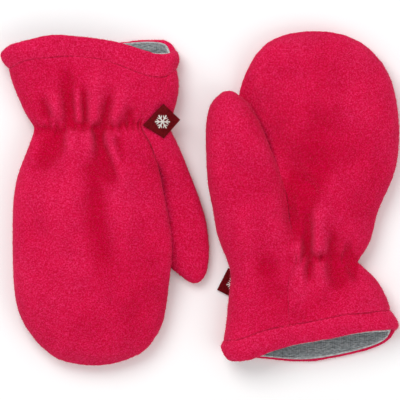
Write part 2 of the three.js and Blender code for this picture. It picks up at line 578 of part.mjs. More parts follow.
function handPanel(spec, form, piece) {
  const rows = piece === 'palm' ? spec.palmSide : spec.backSide;
  const upward = (piece === 'palm') === spec.palmUp;
  const stitching = upward ? spec.upperStitching : spec.lowerStitching;
  const left = besideSeam(rows, SEAM_ASIDE, spec.crotch, stitching);
  const right = besideSeam(spec.outerSide, 0, spec.crotch, stitching);
  const plan = panelPlan({
    left, right, start: startLine(stitching, left, right), end: endLine(spec.tip, left),
  });
  const lowerSize = piece === 'palm' ? STEPPED_PANEL : LOWER_PANEL;
  const size = upward ? UPPER_PANEL : lowerSize;
  const gatherLine = upward ? spec.upperGather : spec.lowerGather;
  const gathers = upward ? spec.gatherCount.upper : spec.gatherCount.lower;
  const crease = (x, y, share) =>
    (upward ? creaseDepth(spec, x, y) : 0) + gatherDepth(gatherLine, gathers, x, y, share);
  return clothWall(
    outerGrid(size, plan, form[piece], upward, crease),
    innerGrid(size, plan, form[piece], upward, form.handFold),
  );
}

// Thumb piece: the upper and the lower half share the fold on the thumb side
function thumbPiece(spec, form) {
  const half = (rows, upward) => {
    const stitching = upward ? spec.upperStitching : spec.lowerStitching;
    const left = besideSeam(rows, -SEAM_ASIDE, spec.crotch, stitching);
    const right = besideSeam(spec.thumbFold, 0, spec.crotch, stitching);
    return panelPlan({
      left, right, start: startLine(stitching, left, right), end: endLine(spec.thumbTip, left),
    });
  };
  const upperPlan = half(spec.palmUp ? spec.thumbPalmEdge : spec.thumbBackEdge, true);
  const lowerPlan = half(spec.palmUp ? spec.thumbBackEdge : spec.thumbPalmEdge, false);
  const joined = (upper, lower) => upper.map((row, i) => [...row, ...lower[i].reverse().slice(1)]);
  const crease = (x, y) => creaseDepth(spec, x, y) * rounded(y, THUMB_CREASE_FADE);
  return clothWall(
    joined(
      outerGrid(THUMB_HALF, upperPlan, form.thumbUpper, true, crease),
      outerGrid(THUMB_HALF, lowerPlan, form.thumbLower, false, noCrease),
    ),
    joined(
      innerGrid(THUMB_HALF, upperPlan, form.thumbUpper, true, form.thumbFoldHeight),
      innerGrid(THUMB_HALF, lowerPlan, form.thumbLower, false, form.thumbFoldHeight),
    ),
  );
}

// At its folds a ring faces away from both of its lines
const NEXT_SHARE = 0.05;
function endFacing(upperLine, lowerLine, share) {
  const towards = share === 0 ? NEXT_SHARE : 1 - NEXT_SHARE;
  const away = (line) => line(share).sub(line(towards)).normalize();
  const flat = away(upperLine).add(away(lowerLine)).normalize();
  return new THREE.Vector3(flat.x, flat.y, 0);
}

// A loop round the cuff between two pairs of lines, moved inwards by the depth in the wall
function cuffLoop(form, upperLine, lowerLine, inward, puff = 0) {
  const shares = steps(RING_STEPS).map((share) => (1 - Math.cos(Math.PI * share)) / 2);
  const side = (line, heightOf, upward, share) => {
    const { x, y } = line(share);
    const edge = share === 0 || share === 1;
    const z = edge ? FOLD_HEIGHT : heightOf(x, y);
    const normal = edge ? endFacing(upperLine, lowerLine, share) : facing(heightOf, x, y, upward);
    const point = new THREE.Vector3(x, y, z).addScaledVector(normal, puff - inward);
    point.z = Math.max(point.z, 0);
    return point;
  };
  return [
    ...shares.slice(0, -1).map((share) => side(upperLine, form.cuffUpper, true, share)),
    ...shares.slice(1).reverse().map((share) => side(lowerLine, form.cuffLower, false, share)),
  ];
}

// A line across the cuff, between the stitching (0) and the lip (1)
function hemLine(stitching, lip, toLip, outward) {
  const ends = (rows) => [rows[0].across, rows[rows.length - 1].across];
  return (share) => {
    const inner = crossPoint(stitching, ...ends(stitching), share);
    const outer = crossPoint(lip, ...ends(lip), share);
    const point = inner.clone().lerp(outer, toLip);
    return point.add(outer.sub(inner).setLength(outward));
  };
}
const hemLines = (spec, toLip, outward = 0) => [
  hemLine(spec.upperStitching, spec.upperLip, toLip, outward),
  hemLine(spec.lowerStitching, spec.lowerLip, toLip, outward),
];

function hemRing(spec, form) {
  const corner = HEM_WALL * (1 - Math.SQRT1_2) / 2;
  const start = hemLines(spec, 0, SEAM / 2);
  const middle = hemLines(spec, 0.5);
  const rounding = hemLines(spec, 1, -HEM_WALL / 2);
  const shoulder = hemLines(spec, 1, -corner);
  const lip = hemLines(spec, 1);
  return clothRing([
    cuffLoop(form, ...start, 0),
    cuffLoop(form, ...middle, 0, HEM_PUFF),
    cuffLoop(form, ...rounding, 0),
    cuffLoop(form, ...shoulder, corner),
    cuffLoop(form, ...lip, HEM_WALL / 2),
    cuffLoop(form, ...shoulder, HEM_WALL - corner),
    cuffLoop(form, ...rounding, HEM_WALL),
    cuffLoop(form, ...hemLines(spec, 0, SEAM / 2 + HEM_WALL - FLEECE), HEM_WALL),
  ]);
}

// A line across the wrist between two folds, part of the way from the stitching to the gathers
function wristLine(spec, stitching, gather, toGather) {
  const last = gather.length - 1;
  const fold = (rows, start, end) => {
    const along = mix(start.along, end.along, toGather);
    return new THREE.Vector2(readTable(rows, 'along', 'across', along), along);
  };
  const thumbEnd = fold(spec.thumbFold, stitching[0], gather[0]);
  const outerEnd = fold(spec.outerSide, stitching[stitching.length - 1], gather[last]);
  const ends = (rows) => [rows[0].across, rows[rows.length - 1].across];
  return (share) => {
    const near = crossPoint(stitching, ...ends(stitching), share);
    const far = crossPoint(gather, ...ends(gather), share);
    return new THREE.Vector2(mix(thumbEnd.x, outerEnd.x, share), mix(near.y, far.y, toGather));
  };
}

function liningTube(spec, form) {
  const toGathers = [0.45, 0.92]; // its last two stations, up to just short of the gathers
  const stations = [
    hemLines(spec, LIP_SHARE),
    hemLines(spec, 0),
    ...toGathers.map((toGather) => [
      wristLine(spec, spec.upperStitching, spec.upperGather, toGather),
      wristLine(spec, spec.lowerStitching, spec.lowerGather, toGather),
    ]),
  ];
  const outside = (i) => HEM_WALL + SEAM + (i > 1 ? LINING_SLACK : 0);
  const loops = stations.map((lines, i) => cuffLoop(form, ...lines, outside(i)));
  const inner = stations.map((lines, i) => cuffLoop(form, ...lines, outside(i) + LINING_WALL));
  return clothRing([...loops, ...inner.reverse()]);
}

// The tab lies on the thumb piece and stands out past it, or lies on the surface under it
function labelTab(spec, form) {
  const corners = labelCorners(spec);
  const seamMiddle = corners[0].clone().lerp(corners[1], 0.5);
  const below = (x, y, outShare) => {
    if (spec.palmUp) return 0;
    const seamHeight = form.thumbUpper(seamMiddle.x, seamMiddle.y) + LABEL_LIFT;
    return Math.max(form.thumbUpper(x, y) + LABEL_LIFT, seamHeight - LABEL_DROP * outShare * outShare);
  };
  const grid = (rows, lift, columns) =>
    steps(rows).map((outShare) =>
      steps(columns).map((runShare) => {
        const seamEdge = corners[0].clone().lerp(corners[1], runShare);
        const { x, y } = seamEdge.lerp(corners[3].clone().lerp(corners[2], runShare), outShare);
        return new THREE.Vector3(x, y, below(x, y, outShare) + lift);
      }),
    );
  return clothWall(grid(LABEL_STEPS, LABEL_WALL, LABEL_STEPS), grid(LABEL_STEPS, 0, LABEL_STEPS / 2));
}

const FLEECE_LOOK = { color: 0xc8144a, roughness: 0.95, metalness: 0 };
const LINING_LOOK = { color: 0x9a9a9c, roughness: 0.9, metalness: 0 };
const LABEL_LOOK = { color: 0x74000f, roughness: 0.7, metalness: 0 };

function makeMitten(spec) {
  const form = mittenForm(spec);
  const mitten = new THREE.Group();
  const addPiece = (piece, geometry, look) => {
    const mesh = new THREE.Mesh(geometry, new THREE.MeshStandardMaterial(look));
    mesh.name = `${spec.name}_${piece}`;
    mitten.add(mesh);
  };
  addPiece('back', handPanel(spec, form, 'back'), FLEECE_LOOK);
  addPiece('palm', handPanel(spec, form, 'palm'), FLEECE_LOOK);
  addPiece('thumb', thumbPiece(spec, form), FLEECE_LOOK);
  addPiece('hem', hemRing(spec, form), FLEECE_LOOK);
  addPiece('lining', liningTube(spec, form), LINING_LOOK);
  addPiece('label', labelTab(spec, form), LABEL_LOOK);
  mitten.position.set(spec.place.across, spec.place.along, 0);
  mitten.rotation.z = spec.place.turn;
  return mitten;
}

const pair = new THREE.Group();
pair.add(makeMitten(RIGHT_HAND), makeMitten(LEFT_HAND));

// The part's origin is the middle of its underside
pair.updateMatrixWorld(true);
const middle = new THREE.Box3().setFromObject(pair, true).getCenter(new THREE.Vector3());
pair.position.set(-middle.x, -middle.y, 0);

export default pair;
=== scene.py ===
# A pair of baby mittens in napped fleece, laid side by side on a pale floor and seen from straight above.
#
# Each fleece, jersey and tab piece is a finer, softer skin on its solid's form. Creases, gathers and seams
# are placed in each mitten's own frame, in millimetres: across has the thumb on the negative side, and along
# runs from the cuff to the fingertips.
import math
from collections import namedtuple

import bmesh
import bpy
import numpy as np
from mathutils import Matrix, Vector
from mathutils.bvhtree import BVHTree


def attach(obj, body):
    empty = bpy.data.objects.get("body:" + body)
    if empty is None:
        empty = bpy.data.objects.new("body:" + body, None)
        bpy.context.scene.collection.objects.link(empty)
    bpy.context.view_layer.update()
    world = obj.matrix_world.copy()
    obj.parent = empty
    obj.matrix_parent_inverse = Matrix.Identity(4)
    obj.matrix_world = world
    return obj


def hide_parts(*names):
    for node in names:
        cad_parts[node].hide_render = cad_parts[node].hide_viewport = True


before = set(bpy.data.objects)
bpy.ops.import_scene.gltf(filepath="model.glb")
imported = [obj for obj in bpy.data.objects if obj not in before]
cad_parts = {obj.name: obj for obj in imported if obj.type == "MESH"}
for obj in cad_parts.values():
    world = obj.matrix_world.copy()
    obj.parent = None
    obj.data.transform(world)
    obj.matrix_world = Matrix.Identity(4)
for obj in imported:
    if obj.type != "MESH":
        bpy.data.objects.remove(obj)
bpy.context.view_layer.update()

MM = 0.001
SEED = 11

# A crease with a depth below zero is a ridge
Crease = namedtuple("Crease", "from_across from_along to_across to_along width depth")
Gathers = namedtuple("Gathers", "start end count")
Hand = namedtuple("Hand", "name palm_up place turn wrist creases upper_gathers lower_gathers label hem")

LEFT_HAND = Hand(
    name="left_hand",
    palm_up=True,
    place=(50.46, -75.29),
    turn=1,
    wrist=[(-36.6, 43.5), (-20, 45.5), (-5, 48), (10, 48), (21.4, 46)],
    creases=[
        Crease(-0.9, 51, -0.9, 75, 2.1, 2.3),
        Crease(9.7, 51, 9.9, 61, 2.2, 0.9),
        Crease(17, 48, 18.5, 55, 2.0, 0.8),
        Crease(2.4, 52, 3.8, 68, 2.2, -1.4),
        Crease(5.5, 52, 7.2, 61, 2.0, -0.8),
        Crease(-5.4, 48, -5.2, 59, 1.9, -1.2),
        Crease(3.6, 68, 12.9, 88, 4.5, -0.7),
        Crease(-5, 57, -9.5, 93, 4, 0.9),
        Crease(1, 76, -2.3, 112, 7, 0.8),
        Crease(12, 80, 9, 128, 15, 0.4),
        Crease(-0.5, 44, -1.5, 36, 2.2, 1.2),
        Crease(10.1, 44, 14.3, 33, 3.4, 1.5),
        Crease(18.4, 44, 20.5, 37, 2.0, 1.0),
        Crease(4.8, 44, 5.6, 33, 2.3, -1.0),
        Crease(-4, 43, -4.2, 26, 2.8, -0.8),
        Crease(-20, 46, -23, 62, 5, 0.5),
        Crease(-20, 42, -16, 27, 5, 0.5),
    ],
    upper_gathers=Gathers(-7, 21.4, 8),
    lower_gathers=Gathers(-24.8, 21.4, 8),
    label=[(-26.9, 37.7), (-32, 27.6), (-42.1, 32.7), (-37, 42.8)],
    hem=[
        (-38.6, 9.6), (-33.6, 10.1), (-20.2, 14.8), (-3.2, 17.9), (6.9, 19.8), (16.6, 22), (25.3, 22.8),
        (35.8, 23.8),
    ],
)

RIGHT_HAND = Hand(
    name="right_hand",
    palm_up=False,
    place=(-50.74, 74.61),
    turn=-1,
    wrist=[(-36.3, 43.5), (-23.5, 40.9), (0, 42), (24.4, 42.8)],
    creases=[
        Crease(8.6, 38.5, 10.8, 18, 2.6, 1.7),
        Crease(1.9, 39, 2.8, 24, 1.7, 1.2),
        Crease(-6.4, 39.5, -10.1, 26, 2.6, 1.5),
        Crease(-17.5, 38.5, -19, 32, 2.4, 1.0),
        Crease(19, 36, 22, 28, 2.3, 1.0),
        Crease(5.1, 38, 5.8, 24, 1.7, -1.0),
        Crease(-1.9, 38, -2.8, 16, 2.8, -1.2),
        Crease(-11.5, 38, -15.6, 23, 3, -0.9),
        Crease(15.5, 35, 18, 24, 2.5, -0.9),
        Crease(0.8, 46, 0.5, 54, 1.9, -0.9),
        Crease(-3.8, 43.5, -6, 56, 2.2, 2.3),
        Crease(-6, 55, -12, 69, 3, 1.8),
        Crease(-8.5, 47, -15.6, 67, 2.5, -0.9),
        Crease(-13, 49, -15, 62, 2.2, 0.6),
        Crease(13.8, 46, 14.6, 55, 2.4, 1.3),
        Crease(18, 50, 23, 64, 4.5, 1.1),
        Crease(8, 46, 9, 56, 2.4, -0.7),
        Crease(-2, 62, -5, 106, 5, 1.2),
        Crease(-14, 70, -16, 100, 6, -0.4),
        Crease(11, 66, 13, 100, 7, -0.4),
    ],
    upper_gathers=Gathers(-23.5, 24.4, 16),
    lower_gathers=Gathers(-8.5, 24.4, 10),
    label=[(-23.9, 40.9), (-33.4, 31), (-41, 38.2), (-33.4, 46.7)],
    hem=[
        (-38.6, 16), (-35.9, 18.2), (-32.2, 18.9), (-26.2, 18.2), (-17.5, 15.2), (-8, 11.6), (3.2, 9.7),
        (9.2, 9.2), (16.6, 9.7), (29.7, 11.5), (36.4, 14.3),
    ],
)

# Cloth, in millimetres
FOLD_HEIGHT = 8  # height of the side folds, between the upper side and the underside
UNDERSIDE = (2, FOLD_HEIGHT - 0.5)  # heights between which the underside's tucks fade out
UPPER_SIDE = (FOLD_HEIGHT + 0.5, FOLD_HEIGHT + 4.5)  # heights between which the creases set in
FULLNESS = 0.35  # the cloth swells this far, so that sewn edges meet in a soft groove
NAP_LUMPS = [(1.5, 0.035), (0.8, 0.03)]  # size and height of the tufts in the fleece
SWELLS = [(22, 0.35), (11, 0.18)]  # size and height of the soft unevenness of a worn panel
HEM_SWELL = (7, 0.14)  # the same for the hem
LINING_SWELLS = [(9, 0.12), (3, 0.05)]
WAVES = {"count": 14, "lengths": (0.75, 1.35)}  # how many make up a swell, and their shares of its length
ELASTIC = {"width": 2.8, "depth": 1.0, "fade": 7}  # the dip along the wrist's elastic
GATHER = {"width": 0.8, "depth": 1.2, "reach": 2.4, "lean": 0.12, "fan": 0.012}
GATHER_SHARES = {"width": (0.8, 1.4), "depth": (0.6, 1.3), "reach": (0.7, 1.5)}  # drawn for each one
CROWDING = {"even": 0.2, "to_ends": 0.8}
SOFTNESS = 1.2  # how much wider a crease of the tables is pressed in
PRESS = 2.4  # how much deeper it is pressed in
DEEPEST = 3.4  # no crease or gather goes deeper
CREASE_FADE = 0.8  # share of its depth that a crease loses from its start to its end
HEM_BAND = 9.5  # width that the hem's puff spreads over
HEM_PUFF = 0.5  # how far its middle rises
HEM_PAINTED_HIGHLIGHT = -0.5  # its colour gets the painted highlight of a low ridge
FIBRE = {"length": 0.9, "width": 0.07, "upright": 0.8, "lean": 0.55, "per_mitten": 80000}
FIBRE_SHARES = (0.4, 1.2)  # of the length, drawn for each one
FIBRES_BELOW = {"height": 1, "share": 0.12}  # cloth lower than this has only this share of them
OUTWARD = 0.05  # how far beyond upright a face may lean and still bear fibres
TINY_AREA = 1e-18
THREAD = {"radius": 0.3, "sides": 6, "stitch": 2.2, "gap": 0.35, "beside": 0.8, "sunk": 0.35}
STITCH_DIPS = (1.6, 0.5, 0, 0.5, 1.6)  # how many radii deeper a stitch goes, from its one end to its other
STITCH_ROW = {"margin": 2, "steepest": 1.2}  # it keeps clear of the folds, and no stitch climbs more
TAB = {"clear": 0.5, "ply": 0.42, "room": 1.2, "inset": 0.03, "steps": 22, "fold_steps": 7}
UNDER_ALL = -5  # heights from which rays look for the cloth
OVER_ALL = 60


# Places in a mitten's own frame
def to_local(hand, points):
    """Columns across, along and height in millimetres, from rows of points in metres."""
    across = hand.turn * (points[:, 0] / MM - hand.place[0])
    along = hand.turn * (points[:, 1] / MM - hand.place[1])
    return across, along, points[:, 2] / MM


def to_frame(hand, across, along, height):
    """A point in metres, from a place in a mitten's own frame."""
    return Vector((
        (hand.turn * across + hand.place[0]) * MM,
        (hand.turn * along + hand.place[1]) * MM,
        height * MM,
    ))


def smooth_step(low, high, value):
    share = np.clip((value - low) / (high - low), 0, 1)
    return share * share * (3 - 2 * share)


def waves(points, size, seed):
    """A smooth random field over points in millimetres, mostly from -2 to 2, with lumps of one size."""
    chance = np.random.default_rng(seed)
    total = np.zeros(len(points))
    for _ in range(WAVES["count"]):
        heading = chance.normal(size=3)
        heading /= np.linalg.norm(heading)
        length = size * 2 * chance.uniform(*WAVES["lengths"])
        total += np.sin(points @ heading * (2 * math.pi / length) + chance.uniform(0, 2 * math.pi))
    return total / math.sqrt(WAVES["count"] / 2)


# Creases and gathers
def groove(crease, across, along):
    """Depth of one crease: full at its start, fading along it, and soft to both sides."""
    run = (crease.to_across - crease.from_across, crease.to_along - crease.from_along)
    squared = run[0] ** 2 + run[1] ** 2
    share = ((across - crease.from_across) * run[0] + (along - crease.from_along) * run[1]) / squared
    share = np.clip(share, 0, 1)
    aside = np.hypot(across - crease.from_across - run[0] * share, along - crease.from_along - run[1] * share)
    depth = PRESS * crease.depth * (1 - CREASE_FADE * share**2)
    return depth * np.exp(-((aside / crease.width / SOFTNESS) ** 2))


def crowded(share):
    """A share along a panel, moved so that the gathers crowd towards both ends, where it turns away."""
    return CROWDING["even"] * share + CROWDING["to_ends"] * (1 - math.cos(math.pi * share)) / 2


def small_gathers(hand, gathers, across, along, seed):
    """Short uneven tucks along the wrist, both ways from the elastic."""
    chance = np.random.default_rng(seed)
    depth = np.zeros(len(across))
    for number in range(gathers.count):
        at = gathers.start + (gathers.end - gathers.start) * crowded((number + 0.5) / gathers.count)
        line = np.interp(at, *zip(*hand.wrist))
        lean = chance.uniform(-GATHER["lean"], GATHER["lean"]) + GATHER["fan"] * at
        reach = GATHER["reach"] * chance.uniform(*GATHER_SHARES["reach"])
        width = GATHER["width"] * chance.uniform(*GATHER_SHARES["width"])
        aside = across - at - lean * np.abs(along - line)
        tuck = np.exp(-((aside / width) ** 2) - ((along - line) / reach) ** 2)
        depth += GATHER["depth"] * chance.uniform(*GATHER_SHARES["depth"]) * tuck
    return depth


def elastic_dip(hand, gathers, across, along):
    """The dip along the elastic, which runs as far as its gathers do."""
    line = np.interp(across, *zip(*hand.wrist))
    begun = smooth_step(gathers.start - ELASTIC["fade"], gathers.start, across)
    return ELASTIC["depth"] * begun * np.exp(-(((along - line) / ELASTIC["width"]) ** 2))


# Skins on the solids
WELD = 1e-5
EDGE_FIRMNESS = 0.75
SHARP_EDGE = math.radians(55)
ZONE_SMOOTHING = {"times": 6, "factor": 0.5}


def cage_of(node, smoothed_zone=None):
    """The node's solid as quads, with its sharp edges kept firm and a zone of it evened out."""
    cage = bmesh.new()
    cage.from_mesh(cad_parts[node].data)
    bmesh.ops.remove_doubles(cage, verts=cage.verts, dist=WELD)
    bmesh.ops.join_triangles(
        cage, faces=cage.faces, angle_face_threshold=math.pi, angle_shape_threshold=math.pi
    )
    firmness = cage.edges.layers.float.new("crease_edge")
    sharp = [edge for edge in cage.edges if edge.calc_face_angle(0) > SHARP_EDGE]
    if smoothed_zone:
        rim = {vertex for edge in sharp for vertex in edge.verts}
        zone = [vertex for vertex in cage.verts if vertex not in rim and smoothed_zone(vertex.co)]
        for _ in range(ZONE_SMOOTHING["times"]):
            bmesh.ops.smooth_vert(cage, verts=zone, factor=ZONE_SMOOTHING["factor"], use_axis_z=True)
    for edge in sharp:
        edge[firmness] = EDGE_FIRMNESS
    return cage


def finer(cage, name, level):
    """A subdivided copy of the cage, as a mesh."""
    mesh = bpy.data.meshes.new(name + "_cage")
    cage.to_mesh(mesh)
    cage.free()
    holder = bpy.data.objects.new(name + "_cage", mesh)
    bpy.context.scene.collection.objects.link(holder)
    modifier = holder.modifiers.new("finer", "SUBSURF")
    modifier.levels = level
    depsgraph = bpy.context.evaluated_depsgraph_get()
    fine = bpy.data.meshes.new_from_object(holder.evaluated_get(depsgraph))
    bpy.data.objects.remove(holder)
    bpy.data.meshes.remove(mesh)
    return fine


def read_rows(data, field):
    values = np.empty(len(data) * 3, np.float32)
    data.foreach_get(field, values)
    return values.reshape(-1, 3).astype(float)


def write_points(mesh, points):
    mesh.vertices.foreach_set("co", points.astype(np.float32).ravel())
    mesh.update()


def finish_piece(name, mesh, node, material):
    """An object that rides on the only body, and stands for the node if there is one."""
    for polygon in mesh.polygons:
        polygon.use_smooth = True
    mesh.materials.clear()
    mesh.materials.append(material)
    piece = bpy.data.objects.new(name, mesh)
    bpy.context.scene.collection.objects.link(piece)
    if node:
        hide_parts(node)
    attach(piece, "root")
    return piece


EVENING_STEPS = 45
HOLLOW_RANGE = 1.0  # mm below or above its evened surroundings at which a point gets the full painted shade of a crease or the full painted highlight of a ridge
PRESSED_RANGE = 2.2  # the same for mm of a crease's own depth


def paint_crease_shading(mesh, pressed):
    """Stores how far each point lies in a hollow, 0 raised and 1 pressed, for the painted shade in the
    fleece's creases and the painted highlight on its ridges.
    """
    points = read_rows(mesh.vertices, "co")
    normals = read_rows(mesh.vertex_normals, "vector")
    ends = np.empty(len(mesh.edges) * 2, np.int32)
    mesh.edges.foreach_get("vertices", ends)
    first, second = ends.reshape(-1, 2).T
    degree = np.bincount(ends, minlength=len(points))
    evened = points.copy()
    for _ in range(EVENING_STEPS):
        for axis in range(3):
            total = np.bincount(first, evened[second, axis], len(points))
            total += np.bincount(second, evened[first, axis], len(points))
            evened[:, axis] = (evened[:, axis] + total / degree) / 2
    hollow = ((evened - points) * normals).sum(axis=1) / MM
    shares = np.clip(0.5 + 0.5 * (hollow / HOLLOW_RANGE + pressed / PRESSED_RANGE), 0, 1)
    colours = np.repeat(shares[:, None], 4, axis=1)
    colours[:, 3] = 1
    # painted shading: shade in hollows and creases, highlight on raised places
    layer = mesh.color_attributes.new("painted_shading", "FLOAT_COLOR", "POINT")
    layer.data.foreach_set("color", colours.astype(np.float32).ravel())


def soft_limit(depth):
    """Depths level out towards the deepest one."""
    return DEEPEST * np.tanh(depth / DEEPEST)


def crease_skin(mesh, hand, side, seed):
    """Presses creases, gathers and unevenness into a skin, and gives how deep each point went.

    side is upper, lower or both.
    """
    points = read_rows(mesh.vertices, "co")
    across, along, height = to_local(hand, points)
    rows = points / MM
    if side == "lower":
        bottom = 1 - smooth_step(*UNDERSIDE, height)
        depth = elastic_dip(hand, hand.lower_gathers, across, along)
        depth = depth + small_gathers(hand, hand.lower_gathers, across, along, seed)
        pressed = soft_limit(depth) * bottom
        points[:, 2] += pressed * MM
    else:
        top = smooth_step(*UPPER_SIDE, height)
        depth = sum(groove(crease, across, along) for crease in hand.creases)
        depth = depth + elastic_dip(hand, hand.upper_gathers, across, along)
        if side == "upper":
            depth = depth + small_gathers(hand, hand.upper_gathers, across, along, seed)
        for size, rise in SWELLS:
            depth = depth + rise * waves(rows, size, seed + int(size))
        pressed = soft_limit(depth) * top
        points[:, 2] -= pressed * MM
    write_points(mesh, points)
    return pressed


def nap_skin(mesh, lumps, seed, fullness=FULLNESS):
    """Raises the tufts of the nap along the skin's normals, but keeps the underside on the floor."""
    points = read_rows(mesh.vertices, "co")
    normals = read_rows(mesh.vertex_normals, "vector")
    rise = fullness + sum(
        height * waves(points / MM, size, seed + number) for number, (size, height) in enumerate(lumps)
    )
    points += normals * (rise * MM)[:, None]
    points[:, 2] = np.maximum(points[:, 2], 0)
    write_points(mesh, points)


# Shader helpers
def new_material(name, **settings):
    material = bpy.data.materials.new(name)
    material.use_nodes = True
    shader = material.node_tree.nodes["Principled BSDF"]
    for key, value in settings.items():
        shader.inputs[key].default_value = value
    return material, material.node_tree, shader


def noise(tree, scale, detail, stretch=(1, 1, 1)):
    """Noise over the piece in its own place, with lumps of about 1 / scale metres."""
    place = tree.nodes.new("ShaderNodeTexCoord")
    mapping = tree.nodes.new("ShaderNodeMapping")
    mapping.inputs["Scale"].default_value = stretch
    texture = tree.nodes.new("ShaderNodeTexNoise")
    texture.inputs["Scale"].default_value = scale
    texture.inputs["Detail"].default_value = detail
    tree.links.new(place.outputs["Object"], mapping.inputs["Vector"])
    tree.links.new(mapping.outputs["Vector"], texture.inputs["Vector"])
    return texture.outputs["Fac"]


def ramp(tree, value, stops):
    """Colours that run through the stops, each a place on the value and the colour there."""
    node = tree.nodes.new("ShaderNodeValToRGB")
    elements = node.color_ramp.elements
    while len(elements) < len(stops):
        elements.new(0.5)
    for element, (position, colour) in zip(elements, stops):
        element.position = position
        element.color = (*colour, 1)
    tree.links.new(value, node.inputs["Fac"])
    return node.outputs["Color"]


NOISE_RANGE = (0.3, 0.7)  # the values at which a noise reaches its two colours


def two_tone(tree, value, low, high, places=NOISE_RANGE):
    """Colours from the low one to the high one."""
    return ramp(tree, value, [(places[0], low), (places[1], high)])


def blend(tree, factor, first, second, mode="MIX"):
    node = tree.nodes.new("ShaderNodeMix")
    node.data_type = "RGBA"
    node.blend_type = mode
    for socket, value in (("Factor", factor), ("A", first), ("B", second)):
        named = [candidate for candidate in node.inputs if candidate.name == socket and candidate.enabled]
        target = next(candidate for candidate in named if candidate.type in ("VALUE", "RGBA"))
        if isinstance(value, bpy.types.NodeSocket):
            tree.links.new(value, target)
        elif isinstance(value, tuple):
            target.default_value = (*value, 1)
        else:
            target.default_value = value
    return next(s for s in node.outputs if s.type == "RGBA" and s.enabled)


def bump(tree, shader, height, distance, strength=1.0, before=None):
    node = tree.nodes.new("ShaderNodeBump")
    node.inputs["Strength"].default_value = strength
    node.inputs["Distance"].default_value = distance
    tree.links.new(height, node.inputs["Height"])
    if before:
        tree.links.new(before.outputs["Normal"], node.inputs["Normal"])
    tree.links.new(node.outputs["Normal"], shader.inputs["Normal"])
    return node


WHITE = (1.0, 1.0, 1.0)

# Fleece
FLEECE_DEEP = (0.58, 0.002, 0.038)
FLEECE_MIDDLE = (0.69, 0.008, 0.070)
FLEECE_BRIGHT = (0.84, 0.036, 0.150)
PAINTED_CREASE_SHADE = (0.74, 0.02, 0.40)  # painted shade deep in a crease
PAINTED_LEVEL_SHADE = (0.91, 0.52, 0.77)  # painted shade where the cloth is neither pressed in nor raised, a little darker than the painted highlight on ridges
FLEECE_STOPS = [(0.30, FLEECE_DEEP), (0.50, FLEECE_MIDDLE), (0.72, FLEECE_BRIGHT)]
# painted highlight on ridges (white), painted shade on level cloth and more of it deep in creases
PAINTED_SHADING_STOPS = [(0.1, WHITE), (0.5, PAINTED_LEVEL_SHADE), (0.9, PAINTED_CREASE_SHADE)]
FLEECE_FINISH = {
    "Roughness": 0.95, "Specular IOR Level": 0.05,
    "Sheen Weight": 0.12, "Sheen Roughness": 0.5, "Sheen Tint": (1, 0.3, 0.6, 1),
}
TUFTS = {"scale": 1500, "detail": 1, "rise": 0.0004, "strength": 0.6}
FUZZ = {"scale": 2400, "detail": 2, "rise": 0.0002, "strength": 0.5}
PATCHES = {"scale": 90, "detail": 3, "shade": (0.88, 0.86, 0.88)}
FIBRE_FINISH = {"Roughness": 0.8, "Sheen Weight": 0.3, "Sheen Tint": (1, 0.5, 0.6, 1)}
FIBRE_TONES = {"scale": 400, "dark": (0.60, 0.004, 0.05), "light": (0.82, 0.035, 0.14)}


def fleece_material():
    material, tree, shader = new_material("fleece", **FLEECE_FINISH)
    tufts = noise(tree, TUFTS["scale"], TUFTS["detail"])
    patches = noise(tree, PATCHES["scale"], PATCHES["detail"])
    speckle = ramp(tree, tufts, FLEECE_STOPS)
    shade = two_tone(tree, patches, PATCHES["shade"], WHITE)
    colour = blend(tree, 1.0, speckle, shade, "MULTIPLY")
    # painted shade in creases and painted highlight on ridges, read from the stored hollow share
    painted_shading = tree.nodes.new("ShaderNodeAttribute")
    painted_shading.attribute_name = "painted_shading"
    hollow = ramp(tree, painted_shading.outputs["Fac"], PAINTED_SHADING_STOPS)
    tree.links.new(blend(tree, 1.0, colour, hollow, "MULTIPLY"), shader.inputs["Base Color"])
    coarse = bump(tree, shader, tufts, TUFTS["rise"], TUFTS["strength"])
    bump(tree, shader, noise(tree, FUZZ["scale"], FUZZ["detail"]), FUZZ["rise"], FUZZ["strength"], coarse)
    return material


def fibre_material():
    material, tree, shader = new_material("fleece_fibre", **FIBRE_FINISH)
    colour = two_tone(tree, noise(tree, FIBRE_TONES["scale"], 1), FIBRE_TONES["dark"], FIBRE_TONES["light"])
    tree.links.new(colour, shader.inputs["Base Color"])
    return material


# Jersey
JERSEY_DARK = (0.13, 0.15, 0.155)
JERSEY_LIGHT = (0.42, 0.455, 0.465)
# a paler copy of the jersey for the rolled edge: painted highlight where the lining turns over the lip
ROLL_HIGHLIGHT_DARK = (0.34, 0.36, 0.365)
ROLL_HIGHLIGHT_LIGHT = (0.72, 0.74, 0.74)
JERSEY_FINISH = {"Roughness": 0.9, "Sheen Weight": 0.25}
HEATHER = {"scale": 1900, "stretch": (0.3, 1, 1), "range": (0.32, 0.68), "rise": 0.0002, "strength": 0.5}
STREAKS = {"scale": 420, "stretch": (0.15, 1.6, 1), "shade": (0.7, 0.7, 0.72)}
RIBS = {"scale": 300, "distortion": 0.6, "rise": 0.00025, "strength": 0.8}


